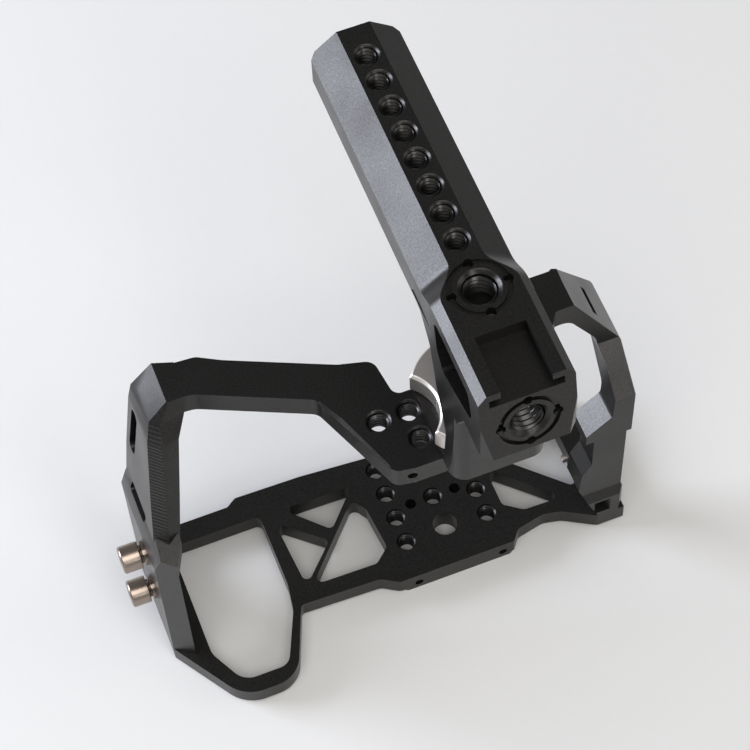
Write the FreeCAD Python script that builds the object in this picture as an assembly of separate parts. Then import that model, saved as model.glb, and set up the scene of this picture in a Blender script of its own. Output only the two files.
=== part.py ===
import FreeCAD, Part
import math
import os

from FreeCAD import Vector

# Camera cage in two bolted halves, with a top handle held by a scalloped thumb wheel.
# Millimetres. +X is the user's right when they look at the lens side of the cage, +Z is up
# and -Y is the lens side. The origin is the axis of the camera screw hole on the underside.

# Bottom plate
PLATE_THICK = 6.0
CENTRE_PAD_DEPTH = 1.4
CENTRE_PAD_LEFT_X = -17.6
CENTRE_PAD_RIGHT_X = 16.6
PLATE_BACK_Y = 28.9
PLATE_BACK_SWELL = 2.0
PLATE_FRONT_Y = -12.7
PLATE_RIGHT_X = 49.9
PLATE_CORNER_R = 2.0
PLATE_POCKET_R = 1.6
CAMERA_SCREW_HOLE_D = 7.2
LOCATING_PIN_HOLE_D = 3.2
LOCATING_PIN_SPACING = 13.8
CENTRE_THREAD_Y = 9.8
PLATE_THREAD_COLUMN_X = 12.6
PLATE_THREAD_ROW_Y = -1.2
PLATE_THREAD_PITCH = 8.4
PLATE_THREAD_ROWS = 4
EDGE_HOLE_D = 2.6
EDGE_HOLE_DEPTH = 6.0
EDGE_HOLE_X = 13.1
EDGE_HOLE_Z = 3.0
PLATE_NOTCH_DEPTH = 2.6

# Grip loop in the bottom plate, on the left
LOOP_NOSE_Y = -29.5
LOOP_NOSE_LEFT_X = -72.4
LOOP_NOSE_RIGHT_X = -56.4
LOOP_NOSE_R = 9.0
LOOP_LEFT_WALL = 9.6
LOOP_INNER_RIGHT_X = -49.3
LOOP_FRONT_WALL = 4.7
LOOP_BACK_BAR = 6.3

# Sides and top of the cage
CAGE_LEFT_X = -86.4
CAGE_HEIGHT = 109.6
TOP_BAR_THICK = 7.5
SIDE_BACK_Y = 20.5
LEFT_UPRIGHT_THICK = 5.4
LEFT_UPRIGHT_FRONT_Y = -8.1
LEFT_UPRIGHT_BEVEL = 4.0
LEFT_END_HEIGHT = 12.2
POST_LEAN = 14.9
POST_BACK_LEAN = 1.9
TOP_BAR_FRONT_Y = 10.2
DIAGONAL_FACET_DEPTH = 3.4
SEAM_Z = 54.2
SHOULDER_Z = 84.6
SHOULDER_RUN = 14.4
SHOULDER_THICK = 5.7
SHOULDER_FRONT_Y = -2.4
SHOULDER_BACK_Y = 9.6
RIGHT_LOWER_INSET = 0.7
RIGHT_FLARE = 1.3
RIGHT_FLARE_Z = 18.9
RIGHT_FRONT_Y = -14.3
RIGHT_LOWER_FRONT_Y = -13.0
RIGHT_STRUT_DEPTH = 8.6
RIGHT_NECK_WIDTH = 9.8
RIGHT_SEAM_WIDTH = 13.7

# Strap slots in both sides
STRAP_SLOT_Y = 17.0
STRAP_SLOT_WIDTH = 4.2
STRAP_SLOT_LENGTH = 18.0
STRAP_SLOT_RISE = 25.4
LOWER_SLOT_FRONT_Y = 3.8
LOWER_SLOT_BACK_Y = 15.6
LOWER_SLOT_RISE = 8.9
LOWER_SLOT_WIDTH = 3.4
SHOULDER_SLOT_RISE = 12.6
SHOULDER_SLOT_SHIFT = 1.7
SHOULDER_SLOT_LENGTH = 8.8
SHOULDER_SLOT_WIDTH = 2.6

# Tenons that join the two halves
TENON_THICK = 2.6
TENON_CLEARANCE = 0.05
LEFT_TENON_Y = 4.5
LEFT_TENON_WIDTH = 12.0
LEFT_TENON_DEPTH = 36.0
RIGHT_TENON_INSET = 5.2
RIGHT_TENON_WIDTH = 5.0
RIGHT_TENON_THICK = 4.0
RIGHT_TENON_DEPTH = 14.0

# Joint screws on the left side
SIDE_SCREW_TOP_Z = 45.6
SIDE_SCREW_SPACING = 21.4
SIDE_SCREW_HEAD_D = 7.8
SIDE_SCREW_HEAD_LEN = 5.4
SIDE_SCREW_HEAD_CHAMFER = 0.4
SIDE_SCREW_SHANK_D = 4.0
SIDE_SCREW_SOCKET_AF = 3.0
SIDE_SCREW_SOCKET_DEPTH = 2.4
SIDE_WASHER_D = 7.0
SIDE_WASHER_THICK = 0.9
SIDE_COLLAR_D = 5.2
SIDE_COLLAR_LEN = 0.8
SCREW_RUNNING_CLEARANCE = 0.08

# Small screw behind the right joint
BACK_SCREW_D = 2.5
BACK_SCREW_HEAD_D = 4.6
BACK_SCREW_HEAD_LEN = 1.1
BACK_SCREW_DROP = 6.0

# Pin in the plate's right rail
RAIL_OPENING_X = 42.3
RAIL_SCREW_D = 2.4
RAIL_SCREW_PROUD = 1.8
RAIL_SCREW_Y = 8.3
RAIL_SCREW_Z = 4.0
RAIL_SCREW_SINK = 0.6

# Quarter-inch 20 accessory threads: clear bore at the crests and mouth chamfer
QUARTER_THREAD_D = 5.6
QUARTER_MOUTH_D = 6.8

# Tab under the handle
TAB_HALF_WIDTH = 23.7
TAB_BACK_Y = -9.8
TAB_FRONT_Y = -31.3
TAB_THREAD_X = 15.6
TAB_THREAD_PITCH = 8.2
TAB_THREAD_BACK_Y = -15.4
TAB_EDGE_HOLE_X = -20.7

# Handle
HANDLE_RISE = 60.8
HANDLE_REAR_Y = 58.4
GRIP_TOP_HALF = 4.4
GRIP_HALF = 11.8
GRIP_SHOULDER_DROP = 6.0
GRIP_WALL_DROP = 14.5
GRIP_DEPTH = 22.0
GRIP_UNDERSIDE_HALF = 5.0
GRIP_REAR_CHAMFER = 1.4
HANDLE_HOLE_COUNT = 8
HANDLE_HOLE_PITCH = 8.35
HANDLE_HOLE_FIRST_Y = -9.5
HANDLE_HOLE_DEPTH = 11.0
SWELL_START_Y = -14.6
SWELL_END_Y = -24.2
HEAD_TOP_HALF = 9.8
HEAD_HALF = 12.0
HEAD_CHAMFER = 2.2
HEAD_FRONT_TOP_Y = -51.3
HEAD_FRONT_BOTTOM_Y = -55.8
HEAD_DEPTH = 22.2
HEAD_CORNER_CHAMFER = 2.4
LEG_FRONT_Y = -39.3
LEG_THICK = 6.7
LEG_CORNER_R = 4.4
FOOT_HALF = 12.7
FOOT_REAR_Y = -8.5
FOOT_THICK = 2.9

# Three-eighths threads in the handle head, each in a screwed-in insert
THREE_EIGHTHS_D = 8.6
THREE_EIGHTHS_MOUTH_D = 10.6
INSERT_D = 13.2
INSERT_DEPTH = 9.0
INSERT_GROOVE_D = 15.6
INSERT_GROOVE_DEPTH = 0.8
KEY_SLOT_D = 2.5
KEY_SLOT_RADIUS = 7.12
KEY_SLOT_DEPTH = 3.0
TOP_INSERT_Y = -23.7
FRONT_INSERT_DROP = 12.8

# Accessory shoe in the top of the head
SHOE_BACK_Y = -35.8
SHOE_LIP_GAP = 12.75
SHOE_CHANNEL_WIDTH = 18.6
SHOE_CHANNEL_HEIGHT = 2.2
SHOE_LIP_THICK = 1.9

# Thumb wheel and its stud
KNOB_AXIS_Y = -20.4
KNOB_R = 16.2
KNOB_THICK = 7.0
KNOB_EDGE_CHAMFER = 0.7
SCALLOP_COUNT = 3
SCALLOP_R = 11.1
SCALLOP_OFFSET = 20.9
KNOB_HUB_D = 11.6
KNOB_HUB_HEIGHT = 3.0
STUD_D = 9.5
STUD_NECK_D = 8.0
STUD_RUNNING_CLEARANCE = 0.08
THRUST_WASHER_D = 18.0
THRUST_WASHER_THICK = 0.5
RETAINING_RING_D = 10.6
RETAINING_RING_THICK = 0.8
RETAINING_RING_GAP = 2.4
RETAINING_RING_LIFT = 0.2
STUD_RECESS = 0.5
KNOB_LEG_CLEARANCE = 0.5

# Anti-twist pins under the handle's foot
TWIST_PIN_D = 3.0
TWIST_PIN_WALL = 0.9
TWIST_PIN_ENGAGEMENT = 3.5
TWIST_PIN_SEAT = 1.6
TWIST_PIN_CLEARANCE = 0.02

# Room round a seated head or ring, and how far cuts reach past a face
SEAT_CLEARANCE = 0.3
CUT_MARGIN = 1.0


def corner_arc(before, corner, after, radius):
    """The two tangent points and the arc that round one corner of an outline."""
    inward = (before - corner).normalize()
    outward = (after - corner).normalize()
    half = inward.getAngle(outward) / 2.0
    setback = radius / math.tan(half)
    start = corner + inward * setback
    end = corner + outward * setback
    bisector = (inward + outward).normalize()
    middle = corner + bisector * (radius / math.sin(half) - radius)
    return start, end, Part.Arc(start, middle, end).toShape()


def outline_face(points, to_vector):
    """A flat face from corner points; a third number in a point is its corner radius."""
    corners = [to_vector(p[0], p[1]) for p in points]
    radii = [p[2] if len(p) > 2 else 0.0 for p in points]
    count = len(corners)
    starts = []
    ends = []
    arcs = []
    for i in range(count):
        if radii[i] > 0.0:
            start, end, arc = corner_arc(corners[i - 1], corners[i], corners[(i + 1) % count], radii[i])
        else:
            start, end, arc = corners[i], corners[i], None
        starts.append(start)
        ends.append(end)
        arcs.append(arc)
    edges = []
    for i in range(count):
        if arcs[i] is not None:
            edges.append(arcs[i])
        following = starts[(i + 1) % count]
        if ends[i].distanceToPoint(following) > 1e-6:
            edges.append(Part.LineSegment(ends[i], following).toShape())
    return Part.Face(Part.Wire(edges))


def prism_z(points, z0, z1):
    """A plan outline (x, y) raised from z0 to z1."""
    return outline_face(points, lambda x, y: Vector(x, y, z0)).extrude(Vector(0, 0, z1 - z0))


def prism_x(points, x0, x1):
    """A side outline (y, z) carried from x0 to x1."""
    return outline_face(points, lambda y, z: Vector(x0, y, z)).extrude(Vector(x1 - x0, 0, 0))


def prism_y(points, y0, y1):
    """A front outline (x, z) carried from y0 to y1."""
    return outline_face(points, lambda x, z: Vector(x, y0, z)).extrude(Vector(0, y1 - y0, 0))


def box(x0, x1, y0, y1, z0, z1):
    """A block between two corners."""
    return Part.makeBox(x1 - x0, y1 - y0, z1 - z0, Vector(x0, y0, z0))


def rod(diameter, start, direction, length):
    """A round bar from a point along a direction."""
    return Part.makeCylinder(diameter / 2.0, length, start, direction)


def cone(d0, d1, start, direction, length):
    """A round taper from a point along a direction."""
    return Part.makeCone(d0 / 2.0, d1 / 2.0, length, start, direction)


def tapped_hole(mouth, direction, depth, bore_d, mouth_d):
    """The space of a threaded hole: a bore and a short cone at its mouth, cut from a face."""
    lead = (mouth_d - bore_d) / 2.0
    start = mouth - direction * CUT_MARGIN
    bore = rod(bore_d, start, direction, depth + CUT_MARGIN)
    opening = rod(mouth_d, start, direction, CUT_MARGIN)
    return bore.fuse(opening).fuse(cone(mouth_d, bore_d, mouth, direction, lead))


def loft(sections):
    """A straight-sided body through closed sections of 3D points."""
    wires = [Part.makePolygon([Vector(*p) for p in s] + [Vector(*s[0])]) for s in sections]
    return Part.makeLoft(wires, True, True)


def rows(first, pitch, count):
    """Evenly spaced places."""
    return [first + pitch * i for i in range(count)]


def one_solid(shape):
    """The shape with its flush faces merged."""
    clean = shape.removeSplitter()
    return clean.Solids[0] if len(clean.Solids) == 1 else clean


# Places that several pieces share
PLATE_BOTTOM_Z = CENTRE_PAD_DEPTH
PLATE_TOP_Z = PLATE_BOTTOM_Z + PLATE_THICK
TOP_BAR_Z = CAGE_HEIGHT - TOP_BAR_THICK
LEFT_UPRIGHT_INNER_X = CAGE_LEFT_X + LEFT_UPRIGHT_THICK
LEFT_TENON_X = CAGE_LEFT_X + LEFT_UPRIGHT_THICK / 2.0
TOP_LEFT_X = CAGE_LEFT_X + POST_LEAN
TOP_RIGHT_X = PLATE_RIGHT_X - SHOULDER_RUN
LOWER_RIGHT_X = PLATE_RIGHT_X - RIGHT_LOWER_INSET
RIGHT_LOWER_BACK_Y = RIGHT_LOWER_FRONT_Y + RIGHT_STRUT_DEPTH
RIGHT_UPPER_BACK_Y = RIGHT_FRONT_Y + RIGHT_STRUT_DEPTH
RIGHT_TENON_X = PLATE_RIGHT_X - RIGHT_TENON_INSET
RIGHT_TENON_Y = (RIGHT_LOWER_FRONT_Y + RIGHT_UPPER_BACK_Y) / 2.0
SIDE_SCREW_HEIGHTS = rows(SIDE_SCREW_TOP_Z, -SIDE_SCREW_SPACING, 2)
HANDLE_TOP_Z = CAGE_HEIGHT + HANDLE_RISE
GRIP_SHOULDER_Z = HANDLE_TOP_Z - GRIP_SHOULDER_DROP
GRIP_WALL_BOTTOM_Z = HANDLE_TOP_Z - GRIP_WALL_DROP
GRIP_UNDERSIDE_Z = HANDLE_TOP_Z - GRIP_DEPTH
HEAD_UNDERSIDE_Z = HANDLE_TOP_Z - HEAD_DEPTH
FRONT_INSERT_Z = HANDLE_TOP_Z - FRONT_INSERT_DROP
FOOT_TOP_Z = CAGE_HEIGHT + FOOT_THICK
KNOB_BOTTOM_Z = FOOT_TOP_Z + THRUST_WASHER_THICK
KNOB_TOP_Z = KNOB_BOTTOM_Z + KNOB_THICK
LEG_REAR_Y = LEG_FRONT_Y + LEG_THICK
KNOB_BORE_D = STUD_NECK_D + 2.0 * STUD_RUNNING_CLEARANCE
TWIST_PIN_SPACING = RETAINING_RING_D + TWIST_PIN_D + 2.0 * (SEAT_CLEARANCE + TWIST_PIN_WALL)
UP = Vector(0, 0, 1)
DOWN = Vector(0, 0, -1)
LEFTWARD = Vector(-1, 0, 0)
RIGHTWARD = Vector(1, 0, 0)
REARWARD = Vector(0, 1, 0)
FORWARD = Vector(0, -1, 0)


def plate_outline():
    """The bottom plate seen from above, from its back left corner round by the lens side."""
    front = PLATE_FRONT_Y
    right = PLATE_RIGHT_X
    swell = PLATE_BACK_Y + PLATE_BACK_SWELL
    return [
        (CAGE_LEFT_X, PLATE_BACK_Y, PLATE_CORNER_R),
        (CAGE_LEFT_X, LEFT_UPRIGHT_FRONT_Y),
        (LOOP_NOSE_LEFT_X, LOOP_NOSE_Y, LOOP_NOSE_R + 2.0),
        (LOOP_NOSE_RIGHT_X, LOOP_NOSE_Y, LOOP_NOSE_R),
        (-48.0, front + 3.9, 1.5),
        (-24.0, front + 3.1, 4.0),
        (CENTRE_PAD_LEFT_X - 1.4, front, 3.0),
        (CENTRE_PAD_RIGHT_X, front, 1.0),
        (CENTRE_PAD_RIGHT_X + 2.4, front + 3.1, 2.0),
        (27.6, front + 4.9, 6.0),
        (33.0, front + 3.7, 8.0),
        (right - 7.7, RIGHT_FRONT_Y, 4.0),
        (right - 2.1, RIGHT_FRONT_Y, 2.5),
        (right + RIGHT_FLARE - RIGHT_LOWER_INSET, RIGHT_FRONT_Y + 4.0, 1.5),
        (right, RIGHT_LOWER_BACK_Y + 1.0, 3.0),
        (right, PLATE_BACK_Y, PLATE_CORNER_R),
        (-13.0, PLATE_BACK_Y, 10.0),
        (-34.0, swell - 0.4, 20.0),
        (-54.2, swell, 1.2),
        (-57.2, PLATE_BACK_Y, 1.2),
    ]


def plate_openings():
    """The grip loop, the three triangles of the truss and the two openings on the right."""
    loop_left = CAGE_LEFT_X + LOOP_LEFT_WALL
    loop_back = PLATE_BACK_Y - LOOP_BACK_BAR
    loop_front = LOOP_NOSE_Y + LOOP_FRONT_WALL
    grip_loop = [
        (loop_left, loop_back, 2.0),
        (loop_left, loop_front + 11.2, 7.0),
        (LOOP_NOSE_LEFT_X + 1.4, loop_front, 6.0),
        (LOOP_NOSE_RIGHT_X - 1.1, loop_front, 4.0),
        (LOOP_INNER_RIGHT_X - 1.3, PLATE_FRONT_Y + 3.3, 8.0),
        (LOOP_INNER_RIGHT_X, PLATE_FRONT_Y + 11.3, 8.0),
        (LOOP_INNER_RIGHT_X, loop_back, 2.0),
    ]
    truss_back = [(-42.6, 22.2, 1.2), (-20.9, 21.8, 1.2), (-31.2, 10.6, PLATE_POCKET_R)]
    truss_left = [(-46.0, 18.8, 1.2), (-33.2, 7.6, PLATE_POCKET_R), (-44.4, -3.8, PLATE_POCKET_R)]
    truss_front = [
        (-22.6, 17.6, 2.0),
        (-19.6, 13.0, 2.0),
        (-18.4, -0.6, 2.0),
        (-23.0, -4.6, 2.0),
        (-42.8, -4.2, PLATE_POCKET_R),
    ]
    right_front = [
        (17.7, 12.4, 1.4),
        (35.4, -4.6, 1.4),
        (23.2, -4.4, 3.0),
        (17.8, -0.4, 2.0),
    ]
    right_back = [
        (20.2, 21.6, 2.0),
        (RAIL_OPENING_X, 21.6, 2.0),
        (RAIL_OPENING_X, -0.6, 2.0),
        (39.2, -2.2, 1.2),
        (20.2, 16.4, 2.0),
    ]
    return [grip_loop, truss_back, truss_left, truss_front, right_front, right_back]


def centre_pad():
    """The thicker middle of the plate that the whole rig stands on."""
    front = PLATE_FRONT_Y
    outline = [
        (CENTRE_PAD_LEFT_X, PLATE_BACK_Y - 3.0, 3.0),
        (CENTRE_PAD_LEFT_X, front, 1.5),
        (CENTRE_PAD_RIGHT_X, front, 1.5),
        (CENTRE_PAD_RIGHT_X, PLATE_BACK_Y - 3.0, 3.0),
    ]
    return prism_z(outline, 0.0, PLATE_TOP_Z)


def lower_left_upright():
    """The outer wall beside the grip, from the plate to the seam."""
    plan = [
        (CAGE_LEFT_X, SIDE_BACK_Y),
        (CAGE_LEFT_X, LEFT_UPRIGHT_FRONT_Y),
        (LEFT_UPRIGHT_INNER_X, LEFT_UPRIGHT_FRONT_Y - LEFT_UPRIGHT_BEVEL),
        (LEFT_UPRIGHT_INNER_X, SIDE_BACK_Y),
    ]
    return prism_z(plan, PLATE_BOTTOM_Z, SEAM_Z)


def right_lower_block():
    """The strut on the right of the plate, flared at its foot."""
    flare_y = RIGHT_LOWER_FRONT_Y - RIGHT_FLARE
    flare_x = LOWER_RIGHT_X + RIGHT_FLARE
    side = [
        (RIGHT_LOWER_BACK_Y, PLATE_BOTTOM_Z),
        (flare_y, PLATE_BOTTOM_Z),
        (flare_y, RIGHT_FLARE_Z - 2.0, 2.0),
        (RIGHT_LOWER_FRONT_Y, RIGHT_FLARE_Z + 2.0, 2.0),
        (RIGHT_LOWER_FRONT_Y, SEAM_Z),
        (RIGHT_LOWER_BACK_Y, SEAM_Z),
    ]
    neck_x = LOWER_RIGHT_X - RIGHT_NECK_WIDTH
    front = [
        (flare_x, PLATE_BOTTOM_Z),
        (flare_x, RIGHT_FLARE_Z - 2.0, 2.0),
        (LOWER_RIGHT_X, RIGHT_FLARE_Z + 2.0, 2.0),
        (LOWER_RIGHT_X, SEAM_Z),
        (neck_x, SEAM_Z),
        (neck_x, SEAM_Z - 15.8, 1.0),
        (neck_x - 2.8, SEAM_Z - 21.3, 1.0),
        (neck_x - 3.4, RIGHT_FLARE_Z + 5.5, 2.0),
        (RAIL_OPENING_X, PLATE_TOP_Z),
        (RAIL_OPENING_X, PLATE_BOTTOM_Z),
    ]
    across = prism_y(front, flare_y - CUT_MARGIN, RIGHT_LOWER_BACK_Y + CUT_MARGIN)
    block = prism_x(side, neck_x - 5.0, flare_x + CUT_MARGIN).common(across)
    edge = [
        (flare_x - 2.6, flare_y - CUT_MARGIN),
        (flare_x + CUT_MARGIN, flare_y - CUT_MARGIN),
        (flare_x + CUT_MARGIN, flare_y + 3.6),
    ]
    block = block.cut(prism_z(edge, PLATE_TOP_Z, RIGHT_FLARE_Z + 1.0))
    notch = [
        (RAIL_OPENING_X - 1.4, flare_y - CUT_MARGIN),
        (RAIL_OPENING_X + 4.4, flare_y - CUT_MARGIN),
        (RAIL_OPENING_X + 1.6, flare_y + 2.6),
        (RAIL_OPENING_X - 1.4, flare_y + 2.6),
    ]
    return block.cut(prism_z(notch, PLATE_TOP_Z + 2.0, RIGHT_FLARE_Z - 3.0))


def plate_notches():
    """Milled facets on the top edges of the plate."""
    z0 = PLATE_TOP_Z - PLATE_NOTCH_DEPTH
    front = PLATE_FRONT_Y
    front_left = [(-28.6, front - 1.0), (-23.6, front - 1.0), (-23.9, front + 6.0), (-28.9, front + 4.1)]
    front_right = [(15.9, front - 1.0), (22.0, front - 1.0), (21.6, front + 5.6), (16.1, front + 3.6)]
    cuts = []
    for points in (front_left, front_right):
        bottom = [(x, y, z0) for x, y in points[:2]]
        bottom += [(x, y, PLATE_TOP_Z) for x, y in points[2:]]
        lifted = [(x, y, PLATE_TOP_Z + CUT_MARGIN) for x, y in points]
        cuts.append(loft([bottom, lifted]))
    return cuts


def left_tenon(clearance):
    """The tongue of the upper half, or its socket when clearance is more than zero."""
    half = LEFT_TENON_WIDTH / 2.0 + clearance
    half_thick = TENON_THICK / 2.0 + clearance
    bottom = SEAM_Z - LEFT_TENON_DEPTH - clearance
    return box(
        LEFT_TENON_X - half_thick, LEFT_TENON_X + half_thick,
        LEFT_TENON_Y - half, LEFT_TENON_Y + half,
        bottom, SEAM_Z + clearance,
    )


def right_tenon(clearance):
    """The tongue on the right, or its socket when clearance is more than zero."""
    half = RIGHT_TENON_WIDTH / 2.0 + clearance
    half_thick = RIGHT_TENON_THICK / 2.0 + clearance
    bottom = SEAM_Z - RIGHT_TENON_DEPTH - clearance
    return box(
        RIGHT_TENON_X - half, RIGHT_TENON_X + half,
        RIGHT_TENON_Y - half_thick, RIGHT_TENON_Y + half_thick,
        bottom, SEAM_Z + clearance,
    )


def side_screw_axis(z):
    """Where a joint screw's axis meets the left face of the cage."""
    return Vector(CAGE_LEFT_X, LEFT_TENON_Y, z)


def back_screw_seat():
    """The centre of the joint screw's seat in the back face of the right strut."""
    return Vector(RIGHT_TENON_X, RIGHT_LOWER_BACK_Y, SEAM_Z - BACK_SCREW_DROP)


def rail_screw_start():
    """The outer end of the set screw in the plate's right rail."""
    return Vector(PLATE_RIGHT_X - RAIL_SCREW_SINK, RAIL_SCREW_Y, RAIL_SCREW_Z)


def plate_holes():
    """The camera screw hole, the threads and the locating holes of the plate."""
    through = PLATE_TOP_Z + 2 * CUT_MARGIN
    places = [(0.0, 0.0, CAMERA_SCREW_HOLE_D), (0.0, CENTRE_THREAD_Y, QUARTER_THREAD_D)]
    for x in (-PLATE_THREAD_COLUMN_X, PLATE_THREAD_COLUMN_X):
        for y in rows(PLATE_THREAD_ROW_Y, PLATE_THREAD_PITCH, PLATE_THREAD_ROWS):
            places.append((x, y, QUARTER_THREAD_D))
    for x in (-LOCATING_PIN_SPACING / 2.0, LOCATING_PIN_SPACING / 2.0):
        places.append((x, CENTRE_THREAD_Y, LOCATING_PIN_HOLE_D))
    holes = [rod(d, Vector(x, y, -CUT_MARGIN), UP, through) for x, y, d in places]
    for x in (-EDGE_HOLE_X, EDGE_HOLE_X):
        mouth = Vector(x, PLATE_FRONT_Y - CUT_MARGIN, EDGE_HOLE_Z)
        holes.append(rod(EDGE_HOLE_D, mouth, REARWARD, EDGE_HOLE_DEPTH + CUT_MARGIN))
    return holes


def joint_holes():
    """The tenon sockets and the screw holes of the lower half."""
    holes = [left_tenon(TENON_CLEARANCE), right_tenon(TENON_CLEARANCE)]
    for z in SIDE_SCREW_HEIGHTS:
        bore = SIDE_SCREW_SHANK_D + 2.0 * SCREW_RUNNING_CLEARANCE
        start = side_screw_axis(z) - RIGHTWARD * CUT_MARGIN
        holes.append(rod(bore, start, RIGHTWARD, CUT_MARGIN + LEFT_UPRIGHT_THICK / 2.0))
    seat = back_screw_seat() - FORWARD * CUT_MARGIN
    head_room = BACK_SCREW_HEAD_D + 2.0 * SEAT_CLEARANCE
    holes.append(rod(head_room, seat, FORWARD, BACK_SCREW_HEAD_LEN + CUT_MARGIN))
    holes.append(rod(BACK_SCREW_D + 2.0 * SEAT_CLEARANCE, seat, FORWARD, RIGHT_STRUT_DEPTH / 2.0 + CUT_MARGIN))
    rail = Vector(PLATE_RIGHT_X + CUT_MARGIN, RAIL_SCREW_Y, RAIL_SCREW_Z)
    holes.append(rod(RAIL_SCREW_D, rail, LEFTWARD, PLATE_RIGHT_X - RAIL_OPENING_X + 2 * CUT_MARGIN))
    return holes


def lower_cage():
    """Bottom plate, grip loop, left upright and right strut in one piece."""
    body = prism_z(plate_outline(), PLATE_BOTTOM_Z, PLATE_TOP_Z)
    for opening in plate_openings():
        body = body.cut(prism_z(opening, -CUT_MARGIN, PLATE_TOP_Z + CUT_MARGIN))
    body = body.fuse([centre_pad(), lower_left_upright(), right_lower_block()])
    for cut in plate_notches():
        body = body.cut(cut)
    return one_solid(body.cut(plate_holes() + joint_holes()))


def top_outline():
    """The top of the cage seen from above: left bar, tab and right bar."""
    return [
        (TOP_LEFT_X, SIDE_BACK_Y + POST_BACK_LEAN),
        (TOP_LEFT_X, TOP_BAR_FRONT_Y),
        (TOP_LEFT_X + 7.0, TOP_BAR_FRONT_Y - 0.6, 6.0),
        (-36.0, -3.7, 4.0),
        (-TAB_HALF_WIDTH - 1.5, TAB_FRONT_Y + 0.9, 3.0),
        (-TAB_HALF_WIDTH + 3.7, TAB_FRONT_Y, 4.0),
        (TAB_HALF_WIDTH - 3.7, TAB_FRONT_Y, 4.0),
        (TAB_HALF_WIDTH, TAB_FRONT_Y + 7.3, 3.0),
        (TAB_HALF_WIDTH, TAB_BACK_Y - 2.2, 4.0),
        (TOP_RIGHT_X - 5.2, -2.5),
        (TOP_RIGHT_X - 0.4, -1.9),
        (TOP_RIGHT_X + 0.2, SHOULDER_BACK_Y),
        (TOP_RIGHT_X - 1.2, SHOULDER_BACK_Y + 0.5),
        (TOP_RIGHT_X - 7.5, 6.3, 6.0),
        (14.0, TAB_BACK_Y, 4.0),
        (-17.2, TAB_BACK_Y, 2.5),
        (-18.6, 1.6, 3.4),
        (-27.5, 4.0, 6.0),
        (TOP_LEFT_X + 17.2, 16.4, 8.0),
        (TOP_LEFT_X + 11.1, 19.9, 4.0),
        (TOP_LEFT_X + 4.0, 20.4, 3.0),
    ]


def diagonal_pocket():
    """The milled facet along the slanted front edge of the top."""
    edge_top = CAGE_HEIGHT + CUT_MARGIN
    low = CAGE_HEIGHT - DIAGONAL_FACET_DEPTH
    back = (-37.4, -4.4, 0.0, 2.6)
    middle = (-35.5, -12.8, 2.0, 4.7)
    front = (-28.6, -31.2, 3.6, 4.0)
    sections = []
    for x, y, rise_y, inward in (back, middle, front):
        sections.append([(x, y, low), (x, y, edge_top), (x + inward, y + rise_y, edge_top)])
    return loft(sections)


def post_section(z, outer_back_x, outer_x, front_y, ridge_x, ridge_y, inner_x, inner_y):
    """Plan of the leaning left post at one height, with its bevelled front corner."""
    lean = (z - SEAM_Z) / (CAGE_HEIGHT - SEAM_Z) * POST_BACK_LEAN
    return [
        (CAGE_LEFT_X + outer_back_x, SIDE_BACK_Y + lean, z),
        (CAGE_LEFT_X + outer_x, front_y, z),
        (CAGE_LEFT_X + ridge_x, ridge_y, z),
        (CAGE_LEFT_X + inner_x, inner_y, z),
        (CAGE_LEFT_X + inner_x, SIDE_BACK_Y, z),
    ]


def upper_left_post():
    """The left side of the upper half, leaning in to the top of the cage."""
    top = POST_LEAN
    sections = [
        post_section(SEAM_Z + 8.2, 2.0, 1.6, -4.4, 5.0, -7.2, 8.8, -4.6),
        post_section(SEAM_Z + 23.2, 4.0, 4.2, 1.6, 7.6, -1.4, 12.0, 0.6),
        post_section(CAGE_HEIGHT - 11.2, 7.3, 7.4, 6.8, 10.6, 3.9, 15.4, 5.0),
        post_section(CAGE_HEIGHT - 6.2, 8.6, 9.4, 9.8, 11.8, 7.6, 18.4, 8.4),
        post_section(CAGE_HEIGHT, top, top, TOP_BAR_FRONT_Y, top + 0.5, TOP_BAR_FRONT_Y - 0.4, 20.4, 9.8),
    ]
    post = loft(sections)
    shave = [
        (TOP_LEFT_X, CAGE_HEIGHT),
        (TOP_LEFT_X - 9.0, CAGE_HEIGHT - 7.8),
        (TOP_LEFT_X - 20.0, CAGE_HEIGHT - 7.8),
        (TOP_LEFT_X - 20.0, CAGE_HEIGHT + CUT_MARGIN),
        (TOP_LEFT_X, CAGE_HEIGHT + CUT_MARGIN),
    ]
    post = post.cut(prism_y(shave, LEFT_UPRIGHT_FRONT_Y, PLATE_BACK_Y))
    return post.fuse(upper_left_end())


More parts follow.
